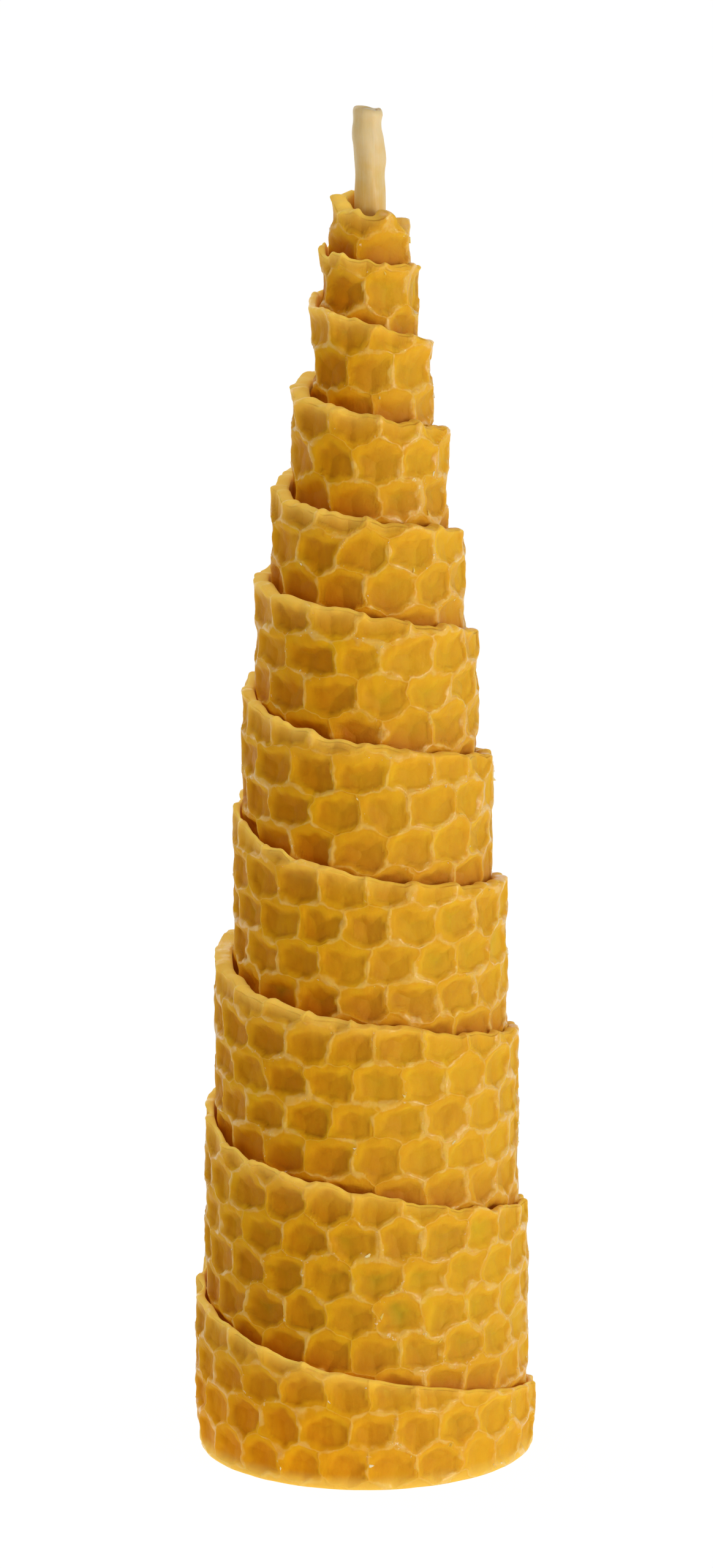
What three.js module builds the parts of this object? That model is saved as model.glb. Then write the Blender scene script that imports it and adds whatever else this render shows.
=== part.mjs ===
// Rolled beeswax candle, in millimetres, +Z up, origin in the middle of the base.
// A slant-cut strip of honeycomb-embossed wax sheet is wound round a waxed cotton wick, so that
// its sloping top edge climbs the candle as a spiral of steps.
import * as THREE from 'three';

// Wick
const WICK_DIAMETER = 3.37;
const WICK_STANDS_OUT = 8.35;
const WICK_X = 0.48;
const WICK_Y = 0.32;
const WICK_BEND_RUN = 17;
const WICK_UPPER_RUN = 2.8;
const WICK_BULGE = 0.21;
const WICK_SIDE_REACH = 0.37;
const WICK_LIP = 0.16;
const WICK_CUT_SLANT = 0.12;
const BRAID_DIAMETER = 2.03;
const BRAID_FIT = 0.27;

// Wax sheet: cells pressed into a thin web
const CELL_WIDTH = 5.4;
const ROW_PITCH = 4.46;
const CELL_DEPTH = 0.64;
const CELL_FLOOR_RISE = 0.15;
const CELL_WALL_RUN = 0.62;
const WEB = 0.32;
const LOWEST_ROW = 2.78;
const FIRST_WALL = 4.95;

// The two strips of sheet and their slanting cut
const FIRST_STRIP = 395;
const SECOND_STRIP = 424;
const STRIP_JOINT = 0.32;
const INNER_HEIGHT = 149;
const TAIL_HEIGHT = 2.1;
const CUT_BOW = 1.8;

// The roll: where it starts, in turns from +X, and the room between its turns
const START_TURN = 0.2;
const SEAT_CLEARANCE = 0.32;
const SLACK_INSIDE = 0.6;
const SLACK_MIDDLE = 0.66;
const SLACK_OUTSIDE = 0.255;

// Fineness of the faceted model. A cell that shows less than LEAST_SHOWN above the turn
// outside it is left plain. Corners closer than SAME are one corner.
const LONGEST_CHORD_ANGLE = THREE.MathUtils.degToRad(30);
const LEAST_SHOWN = 1.07;
const WICK_SIDES = 12;
const BEND_RINGS = 8;
const ROLL_STEP = 0.01;
const ON_CUT = 0.02;
const SAME = 1e-4;
const KEY_SHIFT = 0.31;

const WICK_TOP = INNER_HEIGHT + WICK_STANDS_OUT;
const SHEET = WEB + CELL_DEPTH;
const ROLLED_LENGTH = FIRST_STRIP + SECOND_STRIP;
const HALF_CELL = CELL_WIDTH / 2;
const CELL_SIDE = ROW_PITCH / 1.5;
const BOTTOM_ROW = Math.floor((CELL_SIDE / 2 - LOWEST_ROW) / ROW_PITCH);

const material = (color, roughness) =>
  new THREE.MeshStandardMaterial({ color, roughness, metalness: 0, flatShading: true });

const WAX = material(0xe0a437, 0.55);
const PALE_WAX = material(0xe9dcb4, 0.5);
const COTTON = material(0xf1ead6, 0.9);

// A closed triangle mesh whose corners are shared by their rounded coordinates
class Solid {
  constructor(place) {
    this.place = place;
    this.keys = new Map();
    this.points = [];
    this.triangles = [];
  }

  corner(p) {
    const key = p.map((v) => Math.floor(v / SAME + KEY_SHIFT)).join();
    if (!this.keys.has(key)) {
      this.keys.set(key, this.points.length);
      this.points.push(p);
    }
    return this.keys.get(key);
  }

  face(...polygon) {
    const ids = polygon.map((p) => this.corner(p));
    for (let i = 2; i < ids.length; i++) {
      const [a, b, c] = [ids[0], ids[i - 1], ids[i]];
      if (a !== b && b !== c && c !== a) this.triangles.push([a, b, c]);
    }
  }

  // Edges with a triangle on one side only, each with its two points and its triangle's number
  openEdges() {
    const seen = new Map();
    this.triangles.forEach(([a, b, c], triangle) => {
      for (const edge of [[a, b], [b, c], [c, a]]) seen.set(edge.join(), { edge, triangle });
    });
    const alone = [...seen.values()].filter(({ edge: [a, b] }) => !seen.has(`${b},${a}`));
    return alone.map(({ edge, triangle }) => ({ ends: edge.map((id) => this.points[id]), triangle }));
  }

  mesh(name, look) {
    const geometry = new THREE.BufferGeometry();
    const places = this.points.flatMap((p) => this.place(...p));
    geometry.setAttribute('position', new THREE.Float32BufferAttribute(places, 3));
    geometry.setIndex(this.triangles.flat());
    geometry.computeVertexNormals();
    const mesh = new THREE.Mesh(geometry, look);
    mesh.name = name;
    return mesh;
  }
}

// The roll: the sheet's face radius and the turns made, at each length along the sheet.
// A turn takes up the sheet's thickness and the slack, which tightens from the wick outwards.

function slackAt(along) {
  const q = Math.min(along / ROLLED_LENGTH, 1);
  const inside = SLACK_INSIDE * (1 - q) * (1 - 2 * q);
  const middle = SLACK_MIDDLE * 4 * q * (1 - q);
  return inside + middle + SLACK_OUTSIDE * q * (2 * q - 1);
}

// The sheet's inner end lies against the wick, which stands a little off the roll's axis
function seatRadius() {
  const azimuth = 2 * Math.PI * START_TURN;
  const x = WICK_X + WICK_BULGE;
  const reach = x * Math.cos(azimuth) + WICK_Y * Math.sin(azimuth) + WICK_DIAMETER / 2;
  return reach + SEAT_CLEARANCE;
}

function windRoll() {
  const roll = [{ turn: START_TURN, radius: seatRadius() + SHEET, along: 0 }];
  while (roll.at(-1).along < ROLLED_LENGTH + CELL_WIDTH) {
    const { turn, radius, along } = roll.at(-1);
    const next = radius + (SHEET + slackAt(along)) * ROLL_STEP;
    const arc = 2 * Math.PI * ((radius + next - SHEET) / 2) * ROLL_STEP;
    roll.push({ turn: turn + ROLL_STEP, radius: next, along: along + arc });
  }
  return roll;
}

const ROLL = windRoll();

// Value of one column of the roll's table where another column has a given value
function onRoll(key, value, wanted) {
  let low = 0;
  let high = ROLL.length - 1;
  while (high - low > 1) {
    const middle = (low + high) >> 1;
    if (ROLL[middle][key] <= value) low = middle;
    else high = middle;
  }
  const share = (value - ROLL[low][key]) / (ROLL[high][key] - ROLL[low][key]);
  return THREE.MathUtils.lerp(ROLL[low][wanted], ROLL[high][wanted], share);
}

function rollPlace(along, height, depth) {
  const azimuth = 2 * Math.PI * onRoll('along', along, 'turn');
  const radius = onRoll('along', along, 'radius') - depth;
  return [radius * Math.cos(azimuth), radius * Math.sin(azimuth), height];
}

// The cut: a straight slant with the slight S-bow of a hand-held knife
function cutHeight(along) {
  const q = along / ROLLED_LENGTH;
  const slant = THREE.MathUtils.lerp(INNER_HEIGHT, TAIL_HEIGHT, q);
  return slant - CUT_BOW * Math.sin(2 * Math.PI * q);
}

// Height up to which the next turn covers the sheet
function coveredHeight(along) {
  const outer = onRoll('along', along, 'turn') + 1;
  if (outer >= onRoll('along', ROLLED_LENGTH, 'turn')) return 0;
  return Math.max(0, cutHeight(onRoll('turn', outer, 'along')));
}

// Honeycomb: cell centres stand on half-cell columns, every other row half a cell over. The
// cells are a little wider than they are tall, drawn out along the sheet.
// Sheet coordinates are [along, height, depth], with depth 0 on the cell walls' crests.

const columnAt = (column) => FIRST_WALL + column * HALF_CELL;
const rowAt = (row) => LOWEST_ROW + row * ROW_PITCH;
const isCentre = (column, row) => (column + row) % 2 !== 0;

// Centre column of the row's cell that spans the half cell right of a column
const cellOver = (column, row) => (isCentre(column, row) ? column : column + 1);

const isPressed = (column, row) =>
  rowAt(row) + CELL_SIDE > coveredHeight(Math.max(0, columnAt(column))) + LEAST_SHOWN;

// Corners of a cell from its top one on, in half widths aside and sides up
const CELL_CORNERS = [[0, 1], [-1, 0.5], [-1, -0.5], [0, -1], [1, -0.5], [1, 0.5]];

// One cell: six sloping walls round a floor of three rhombs that meet at its deepest point
function cellFaces(column, row) {
  const [along, height] = [columnAt(column), rowAt(row)];
  const shrink = 1 - CELL_WALL_RUN / HALF_CELL;
  const ring = (scale, depthOf) => CELL_CORNERS.map(([aside, up], i) => {
    return [along + scale * aside * HALF_CELL, height + scale * up * CELL_SIDE, depthOf(i)];
  });
  const crest = ring(1, () => 0);
  const floor = ring(shrink, (i) => CELL_DEPTH - (i % 2 ? 1 : 2) * CELL_FLOOR_RISE);
  const deepest = [along, height, CELL_DEPTH];
  return crest.flatMap((top, i) => {
    const j = (i + 1) % 6;
    return [[top, crest[j], floor[j]], [top, floor[j], floor[i]], [floor[i], floor[j], deepest]];
  });
}

// Lowest row whose cell is pressed in the half cell right of a column
function lowestRow(column) {
  let row = BOTTOM_ROW;
  while (!isPressed(cellOver(column, row), row)) row++;
  return row;
}

// Height at which the pressed cells of that half cell begin, on one of its two lines
function plainTop(column, line) {
  const row = lowestRow(column);
  return rowAt(row) - (line === cellOver(column, row) ? CELL_SIDE : CELL_SIDE / 2);
}

// The plain face under the pressed cells of that half cell, as a ladder of triangles. Its
// sides have the corners of the cells beside it.
function plainFaces(column) {
  const tops = [plainTop(column, column), plainTop(column, column + 1)];
  if (Math.max(...tops) <= 0) return [];
  const foot = Math.min(...tops) > 0 ? 0 : rowAt(BOTTOM_ROW) - 2 * CELL_SIDE;
  const side = (line, top, beside) => {
    const heights = [];
    for (let row = BOTTOM_ROW; rowAt(row) - CELL_SIDE < top; row++) {
      const ends = [rowAt(row) - CELL_SIDE / 2, rowAt(row) + CELL_SIDE / 2];
      if (!isCentre(line, row)) heights.push(...ends);
    }
    const shared = heights.filter((height) => height > beside - SAME && height < top - SAME);
    const climb = [foot, ...shared.filter((height) => height > foot + SAME), top];
    return climb.map((height) => [columnAt(line), height, 0]);
  };
  const left = side(column, tops[0], plainTop(column - 1, column));
  const right = side(column + 1, tops[1], plainTop(column + 1, column + 1));
  const faces = [];
  while (left.length > 1 || right.length > 1) {
    const climbLeft = right.length === 1 || (left.length > 1 && left[1][1] <= right[1][1]);
    const [low, across] = [left[0], right[0]];
    (climbLeft ? left : right).shift();
    faces.push([low, across, climbLeft ? left[0] : right[0]]);
  }
  return faces;
}

// Keeps the part of a polygon where inside(point) is not negative. A corner that lies within
// the tolerance of the border counts as on it.
function clip(polygon, tolerance, inside) {
  const kept = [];
  polygon.forEach((p, i) => {
    const q = polygon[(i + 1) % polygon.length];
    const [a, b] = [inside(p), inside(q)];
    if (a >= -tolerance) kept.push(p);
    if ((a > tolerance && b < -tolerance) || (a < -tolerance && b > tolerance)) {
      kept.push(p.map((v, axis) => v + ((q[axis] - v) * a) / (a - b)));
    }
  });
  return kept;
}

// Upright lines that slice the strip: cell columns, its ends, and more where it curls tightly
function sliceLines(from, to) {
  const lines = [];
  const first = Math.floor((from - FIRST_WALL) / HALF_CELL);
  for (let column = first; columnAt(column) < to; column++) {
    const start = Math.max(0, columnAt(column));
    const angle = HALF_CELL / (onRoll('along', start, 'radius') - SHEET / 2);
    const slices = Math.ceil(angle / LONGEST_CHORD_ANGLE);
    for (let i = 0; i < slices; i++) {
      lines.push({ column, along: columnAt(column) + (i * HALF_CELL) / slices });
    }
  }
  const inner = lines.filter((line) => line.along > from + SAME && line.along < to - SAME);
  const before = lines.filter((line) => line.along <= from + SAME).at(-1);
  return [{ column: before.column, along: from }, ...inner, { along: to }];
}

// Triangles that fill the band between a chain of corners and the two back corners behind its
// ends. Corners are cut off the chain one at a time, the fattest triangle first.
function fillBand(chain, firstBack, lastBack, flat) {
  const left = [...chain];
  const triangles = [];
  const fatness = (p, q, r) => {
    const [a, b, c] = [p, q, r].map(flat);
    const area = (b[0] - a[0]) * (c[1] - a[1]) - (b[1] - a[1]) * (c[0] - a[0]);
    const longest = Math.max(distance(a, b), distance(b, c), distance(c, a));
    const others = left.filter((v) => v !== p && v !== q && v !== r);
    return others.some((v) => isInside(flat(v), a, b, c)) ? -1 : area / Math.max(longest, SAME);
  };
  while (left.length > 1) {
    const ears = left.map((q, i) => [left[i - 1] ?? firstBack, q, left[i + 1] ?? lastBack]);
    const fat = ears.map((ear) => fatness(...ear));
    const best = fat.indexOf(Math.max(...fat));
    triangles.push(ears[best]);
    left.splice(best, 1);
  }
  return [...triangles, [firstBack, left[0], lastBack]];
}

const distance = (a, b) => Math.hypot(b[0] - a[0], b[1] - a[1]);

function isInside(p, a, b, c) {
  const side = (u, v) => (v[0] - u[0]) * (p[1] - u[1]) - (v[1] - u[1]) * (p[0] - u[0]);
  return side(a, b) >= 0 && side(b, c) >= 0 && side(c, a) >= 0;
}

// Closes an embossed face to a solid: plain back, foot, cut edge and two ends
function closeStrip(strip, lines, cut, sliceOf) {
  const borders = strip.openEdges().map(({ ends, triangle }) => ({
    ends,
    slice: sliceOf[triangle],
    isFoot: ends.every((p) => p[1] < SAME),
    isStart: ends.every((p) => p[0] < lines[0].along + SAME),
    isEnd: ends.every((p) => p[0] > lines.at(-1).along - SAME),
  }));
  const band = (edges, axis, [firstBack, lastBack], flip) => {
    const points = edges.flatMap((edge) => edge.ends);
    const chain = [...new Map(points.map((p) => [strip.corner(p), p])).values()];
    chain.sort((p, q) => p[axis] - q[axis]);
    const flat = (p) => [p[axis], p[2]];
    for (const triangle of fillBand(chain, firstBack, lastBack, flat)) {
      strip.face(...(flip ? triangle.reverse() : triangle));
    }
  };
  const foot = lines.map(({ along }) => [along, 0, SHEET]);
  const top = lines.map(({ along }, i) => [along, cut[i], SHEET]);
  for (let i = 0; i + 1 < lines.length; i++) {
    const here = borders.filter((edge) => edge.slice === i && !edge.isStart && !edge.isEnd);
    band(here.filter((edge) => edge.isFoot), 0, [foot[i], foot[i + 1]], true);
    band(here.filter((edge) => !edge.isFoot), 0, [top[i], top[i + 1]], false);
    strip.face(top[i], top[i + 1], foot[i + 1], foot[i]);
  }
  band(borders.filter((edge) => edge.isStart), 1, [foot[0], top[0]], false);
  band(borders.filter((edge) => edge.isEnd), 1, [foot.at(-1), top.at(-1)], true);
}

// One strip of sheet: its embossed face, sliced along the strip and trimmed to the cut
function waxStrip(name, from, to, look) {
  const strip = new Solid(rollPlace);
  const lines = sliceLines(from, to);
  const cut = lines.map((line) => cutHeight(line.along));
  const sliceOf = [];
  for (let i = 0; i + 1 < lines.length; i++) {
    const { column, along } = lines[i];
    const next = lines[i + 1].along;
    const slope = (cut[i + 1] - cut[i]) / (next - along);
    const faces = plainFaces(column);
    const highest = Math.max(cut[i], cut[i + 1]) + CELL_SIDE;
    for (let row = lowestRow(column); rowAt(row) < highest; row++) {
      faces.push(...cellFaces(cellOver(column, row), row));
    }
    for (const face of faces) {
      let kept = clip(face, SAME, (p) => p[0] - along);
      kept = clip(kept, SAME, (p) => next - p[0]);
      kept = clip(kept, SAME, (p) => p[1]);
      kept = clip(kept, ON_CUT, (p) => cut[i] + slope * (p[0] - along) - p[1]);
      strip.face(...kept);
    }
    while (sliceOf.length < strip.triangles.length) sliceOf.push(i);
  }
  closeStrip(strip, lines, cut, sliceOf);
  return strip.mesh(name, look);
}

// Wick: level rings along a stem that leans aside near the roll's top and back above it,
// with a flared tip cut on a slant

const BEND_FROM = INNER_HEIGHT - WICK_BEND_RUN;
const BACK_FROM = INNER_HEIGHT - WICK_UPPER_RUN;

function stemX(height) {
  const aside = THREE.MathUtils.smoothstep(height, BEND_FROM, BACK_FROM);
  const back = THREE.MathUtils.smoothstep(height, BACK_FROM, WICK_TOP);
  return WICK_X + WICK_BULGE * aside - WICK_SIDE_REACH * back;
}

function stemRings(radius) {
  const heights = [0];
  for (let i = 0; i <= BEND_RINGS; i++) {
    heights.push(THREE.MathUtils.lerp(BEND_FROM, WICK_TOP, i / BEND_RINGS));
  }
  return heights.map((height) => {
    const isTip = height === heights.at(-1);
    const reach = radius + (isTip ? WICK_LIP : 0);
    return Array.from({ length: WICK_SIDES }, (_, k) => {
      const angle = (2 * Math.PI * k) / WICK_SIDES;
      const [x, y] = [reach * Math.cos(angle), reach * Math.sin(angle)];
      return [stemX(height) + x, WICK_Y + y, height - (isTip ? WICK_CUT_SLANT * x : 0)];
    });
  });
}

// Quads between rings, each ring running counterclockwise seen from above the one before
function skin(solid, rings) {
  for (let i = 0; i + 1 < rings.length; i++) {
    const [low, high] = [rings[i], rings[i + 1]];
    for (let k = 0; k < low.length; k++) {
      const j = (k + 1) % low.length;
      solid.face(low[k], low[j], high[j], high[k]);
    }
  }
}

function wickBraid() {
  const solid = new Solid((...p) => p);
  const rings = stemRings(BRAID_DIAMETER / 2);
  skin(solid, rings);
  solid.face(...rings[0].reverse());
  solid.face(...rings.at(-1));
  return solid.mesh('wick_braid', COTTON);
}

function wickWaxCoat() {
  const solid = new Solid((...p) => p);
  const outside = stemRings(WICK_DIAMETER / 2);
  const bore = stemRings(BRAID_DIAMETER / 2 + BRAID_FIT);
  skin(solid, [...outside, ...bore.reverse(), outside[0]]);
  return solid.mesh('wick_wax_coat', PALE_WAX);
}

// Least room between a turn's face and the back of the turn outside it, on points round the roll
function leastTurnGap() {
  const pointsPerTurn = 200;
  const lines = sliceLines(0, ROLLED_LENGTH).map((line) => line.along);
  const chordReach = (turn, depth) => {
    const along = onRoll('turn', turn, 'along');
    const i = Math.max(1, lines.findIndex((line) => line > along));
    const [a, b] = [lines[i - 1], lines[i]].map((line) => rollPlace(line, 0, depth));
    const azimuth = 2 * Math.PI * turn;
    const normal = [a[1] - b[1], b[0] - a[0]];
    const facing = normal[0] * Math.cos(azimuth) + normal[1] * Math.sin(azimuth);
    return (normal[0] * a[0] + normal[1] * a[1]) / facing;
  };
  const last = onRoll('along', ROLLED_LENGTH, 'turn') - 1;
  let least = Infinity;
  for (let turn = START_TURN; turn < last; turn += 1 / pointsPerTurn) {
    least = Math.min(least, chordReach(turn + 1, SHEET) - chordReach(turn, 0));
  }
  return least;
}

const candle = new THREE.Group();
candle.add(
  wickBraid(),
  wickWaxCoat(),
  waxStrip('inner_wax_sheet', 0, FIRST_STRIP - STRIP_JOINT / 2, WAX),
  waxStrip('outer_wax_sheet', FIRST_STRIP + STRIP_JOINT / 2, ROLLED_LENGTH, WAX),
);

console.log(`Least gap between turns: ${leastTurnGap().toFixed(2)} mm`);

export default candle;
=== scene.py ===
"""Rolled beeswax candle: two slant-cut strips of honeycomb wax sheet wound round a waxed wick.

Lengths are in metres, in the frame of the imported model, whose solids the pieces here replace.
Each shape is a numpy grid. The file is laid out as an add-on and is run as a script.
"""
import math

import bpy
import numpy as np
from bpy.props import FloatProperty, FloatVectorProperty, IntProperty, PointerProperty
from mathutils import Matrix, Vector


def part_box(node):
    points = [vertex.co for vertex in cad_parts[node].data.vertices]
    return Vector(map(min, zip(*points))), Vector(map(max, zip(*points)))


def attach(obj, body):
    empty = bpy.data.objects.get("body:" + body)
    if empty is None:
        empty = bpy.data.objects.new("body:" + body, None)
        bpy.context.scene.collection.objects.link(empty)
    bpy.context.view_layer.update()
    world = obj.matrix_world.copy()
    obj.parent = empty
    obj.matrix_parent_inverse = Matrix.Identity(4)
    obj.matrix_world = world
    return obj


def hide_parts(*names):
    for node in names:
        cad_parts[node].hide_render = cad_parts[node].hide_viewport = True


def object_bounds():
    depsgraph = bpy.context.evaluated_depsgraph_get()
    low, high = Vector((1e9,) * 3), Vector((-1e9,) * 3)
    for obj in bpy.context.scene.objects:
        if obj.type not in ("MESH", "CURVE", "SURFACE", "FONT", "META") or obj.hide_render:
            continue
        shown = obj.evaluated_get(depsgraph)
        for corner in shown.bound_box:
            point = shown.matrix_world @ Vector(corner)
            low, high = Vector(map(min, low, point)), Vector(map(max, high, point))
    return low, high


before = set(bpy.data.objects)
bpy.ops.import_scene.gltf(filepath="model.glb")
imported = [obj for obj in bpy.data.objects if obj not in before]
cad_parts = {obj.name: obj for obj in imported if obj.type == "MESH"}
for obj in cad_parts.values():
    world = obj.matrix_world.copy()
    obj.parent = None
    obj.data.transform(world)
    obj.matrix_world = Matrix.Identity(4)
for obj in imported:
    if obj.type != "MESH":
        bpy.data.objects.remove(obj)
CAD_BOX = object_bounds()

bl_info = {
    "name": "Rolled Beeswax Candle",
    "version": (1, 0, 0),
    "blender": (4, 5, 0),
    "location": "3D View > Sidebar > Candle",
    "description": "Builds a tapered candle rolled from honeycomb wax sheet",
    "category": "Add Mesh",
}

MM = 0.001
BODY = "root"


def srgb(code):
    """Linear colour of an sRGB hex value such as "DFA82F"."""
    channels = [int(code[i:i + 2], 16) / 255 for i in (0, 2, 4)]
    return tuple(c / 12.92 if c <= 0.04045 else ((c + 0.055) / 1.055) ** 2.4 for c in channels)


def length_property(name, description, millimetres):
    return FloatProperty(
        name=name, description=description, default=millimetres * MM, unit="LENGTH", precision=5
    )


def colour_property(name, description, code):
    return FloatVectorProperty(
        name=name, description=description, default=srgb(code), subtype="COLOR", size=3, min=0, max=1
    )


# Settings

SHEET_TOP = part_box("inner_wax_sheet")[1].z


class RollSettings(bpy.types.PropertyGroup):
    """How the strips are cut and wound."""

    first_strip: length_property("First strip", "Length of the inner strip", 395)
    second_strip: length_property("Second strip", "Length of the outer strip", 424)
    joint_gap: length_property("Joint gap", "Gap where the strips meet end to end", 0.32)
    start_height: length_property("Start height", "Height of the cut at the wick", SHEET_TOP / MM)
    tail_height: length_property("Tail height", "Height of the cut at the outer end", 2.1)
    cut_bow: length_property("Cut bow", "How far the knife's line bows off straight", 1.8)
    start_turn: FloatProperty(
        name="Start", description="Where the sheet starts, in turns from +X", default=0.2
    )
    start_radius: length_property("Start radius", "Radius of the first cell walls", 3.483)
    solid_sheet: length_property("Rolled thickness", "Thickness that the roll is wound with", 0.96)
    room_inside: length_property("Room inside", "Room that a turn takes at the wick", 1.56)
    room_middle: length_property("Room midway", "Room that a turn takes midway", 1.62)
    room_outside: length_property("Room outside", "Room that a turn takes at the tail", 1.215)


class SheetSettings(bpy.types.PropertyGroup):
    """The pressed wax sheet."""

    thickness: length_property("Thickness", "From the cell walls to the back", 1.12)
    lip_gap: length_property("Lip gap", "Gap between a cut edge and the turn inside it", 0.04)
    web: length_property("Web", "Least wax behind a cell's floor", 0.22)
    cell_width: length_property("Cell width", "Across the flats of a cell", 5.4)
    row_pitch: length_property("Row pitch", "Height between two rows of cells", 4.46)
    first_wall: length_property("First wall", "A wall that the columns are counted from", 4.95)
    lowest_row: length_property("Lowest row", "Height of the lowest row of cell centres", 2.78)
    cell_depth: length_property("Cell depth", "From a wall's crest to the deepest point", 0.86)
    wall_crest: length_property("Wall crest", "Width of a wall's rounded crest", 0.16)
    floor_slope: FloatProperty(
        name="Floor slope", description="Steepness of the floor's three faces", default=0.17
    )
    waviness: length_property("Waviness", "How far the walls wander", 0.32)
    levelling: length_property("Levelling", "How far a cell's top and foot are levelled", 0.22)
    lip: length_property("Lip", "Rounding of the cut edge", 0.34)


class WickSettings(bpy.types.PropertyGroup):
    """The wick and its coat of wax."""

    bore: length_property("Bore", "Radius of the hole in the wax coat", 1.24)
    braid: length_property("Braid", "Radius of the cotton braid", 1.015)
    braid_pitch: length_property("Braid pitch", "Height of one turn of the braid's strands", 5.6)
    cut_slant: FloatProperty(
        name="Cut slant", description="Fall of the tip towards +X", default=0.14
    )
    strands: IntProperty(name="Strands", description="Strands round the braid", default=8)


class WaxColours(bpy.types.PropertyGroup):
    """Colours of the waxes and the cotton."""

    gold: colour_property("Gold", "Wax on the sides of the cell walls", "E2A512")
    # Deep gold: painted shade in the cells' floors, and the darker of the wax's own random tones
    deep: colour_property("Deep gold", "Wax in the cells' floors", "CA850A")
    lemon: colour_property("Lemon", "Wax where light comes through a thin place", "EAB610")
    # Dark wax: painted shade in the gaps between turns, and the colour of the painted glow there
    gap_shade: colour_property("Dark wax", "Wax in the gaps between turns", "BC6C06")
    # Pale wax: bloom on the crests, and painted light: highlight on the crests, glow in the lips and
    # at the foot, and the paler side facing the key light
    pale: colour_property("Pale wax", "Cell walls and cut edges", "EFCB60")
    bloom: colour_property("Bloom", "White bloom and crumbs", "F3E6C4")
    tip: colour_property("Wick tip", "Waxed wick at its tip", "E4CB9A")
    stem: colour_property("Wick stem", "Waxed wick lower down", "DFB75E")
    cotton: colour_property("Cotton", "Cotton braid", "E9DFC6")


class StageSettings(bpy.types.PropertyGroup):
    """Camera and light."""

    distance: length_property("Distance", "Camera's distance in front of the candle", 870.2)
    height: length_property("Height", "Camera's height above the floor", 287.5)
    aside: length_property("Aside", "Camera's place left of the candle's axis", 0.96)
    pitch: FloatProperty(
        name="Pitch", description="How far the camera looks down", default=0.2351, subtype="ANGLE"
    )
    lens: FloatProperty(
        name="Lens", description="Focal length on a 36 mm long side, in mm", default=178.07
    )


# Smooth wander, without any table

RIPPLE_WAVES = 14
RIPPLE_LIMIT = 1.4


def ripple(x, y, wavelength, seed):
    """Sum of plane waves with fixed random headings, phases and lengths, over 1.4 times its
    standard deviation, sqrt(waves / 2), so that it is mostly between -1 and 1."""
    rng = np.random.default_rng(seed)
    heading = rng.uniform(0, 2 * np.pi, RIPPLE_WAVES)
    phase = rng.uniform(0, 2 * np.pi, RIPPLE_WAVES)
    number = 2 * np.pi / wavelength * rng.uniform(0.6, 1.6, RIPPLE_WAVES)
    total = np.zeros(np.broadcast(x, y).shape)
    for h, p, k in zip(heading, phase, number):
        total += np.sin(k * (x * np.cos(h) + y * np.sin(h)) + p)
    return total / math.sqrt(RIPPLE_WAVES / 2) / RIPPLE_LIMIT


def smoothstep(low, high, value):
    """0 below low, 1 above high, and the cubic 3t^2 - 2t^3 between."""
    t = np.clip((value - low) / (high - low), 0, 1)
    return t * t * (3 - 2 * t)


def smooth_through(x, knots, values):
    """Cubic curve through given points, its slope at each the mean of its two sides."""
    knots, values = np.asarray(knots, float), np.asarray(values, float)
    slope = np.gradient(values, knots)
    x = np.clip(x, knots[0], knots[-1])
    i = np.clip(np.searchsorted(knots, x) - 1, 0, len(knots) - 2)
    span = knots[i + 1] - knots[i]
    t = (x - knots[i]) / span
    start = (2 * t**3 - 3 * t**2 + 1) * values[i] + (t**3 - 2 * t**2 + t) * span * slope[i]
    end = (3 * t**2 - 2 * t**3) * values[i + 1] + (t**3 - t**2) * span * slope[i + 1]
    return start + end


# The roll

ROLL_STEPS = 6000

# The cut's wobble, as sizes, wavelengths and seeds, rougher near the wick and calm at the tail
CUT_WOBBLES = (
    (0.20 * MM, 6 * MM, 5),
    (0.07 * MM, 2.4 * MM, 6),
)
RAGGED_TURNS = (3.2, 0.8)
RAGGEDNESS = 1.3
CALM_TAIL = 30 * MM

# The waxed wick inside the first turn, in mm: its reach, and its place right of and behind the
# axis
WICK_REACH = 2.1
WICK_RIGHT = 0.55
WICK_BEHIND = 0.32

# How far the hand-held cut strays above the even slant, in mm, at the left, front and right of
# each turn, from the wick outwards
CUT_STRAYS = (
    (-0.80, -0.50, -1.00),
    (-0.70, 0.40, 0.36),
    (-0.03, 1.00, -0.48),
    (-0.85, -0.05, -0.50),
    (-1.84, -0.70, -1.09),
    (-0.40, 0.97, -0.10),
    (-0.12, -0.05, -0.55),
    (0.40, -0.10, -0.10),
    (-0.76, -0.15, -0.50),
    (-0.55, -0.60, -1.22),
    (0.14, 0.10, -0.31),
)
STRAY_PLACES = (-0.5, -0.25, 0)

# How far each turn stands out of the even roll, in mm, at its left and its right, from the
# wick outwards: the hand pressed some turns tighter than others
TURN_SWELLS = (
    (0.20, 0.42),
    (-0.40, -0.22),
    (-0.98, -0.04),
    (-0.22, 0.05),
    (0.48, 0.45),
    (0.67, 0.36),
    (0.56, 0.42),
    (0.02, 0.56),
    (0.64, 0.37),
    (0.33, 0.06),
    (0.05, -0.20),
)
SWELL_PLACES = (-0.5, 0)

# How far the hand has drawn the cells along and up, in mm, at the front of the turns: the turn,
# the drift along the sheet and the drift up
CELL_DRIFTS = (
    (1.75, -1.6, 0.9),
    (2.75, -2.4, 0.9),
    (3.75, -0.9, -0.2),
    (4.75, -2.1, -1.2),
    (5.75, -0.6, 0.3),
    (6.75, 1.7, 0.6),
    (7.75, 1.0, 0.95),
    (8.75, 0.35, 0.6),
    (9.75, -0.1, 0.0),
    (10.75, -0.1, 0.0),
)


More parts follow.
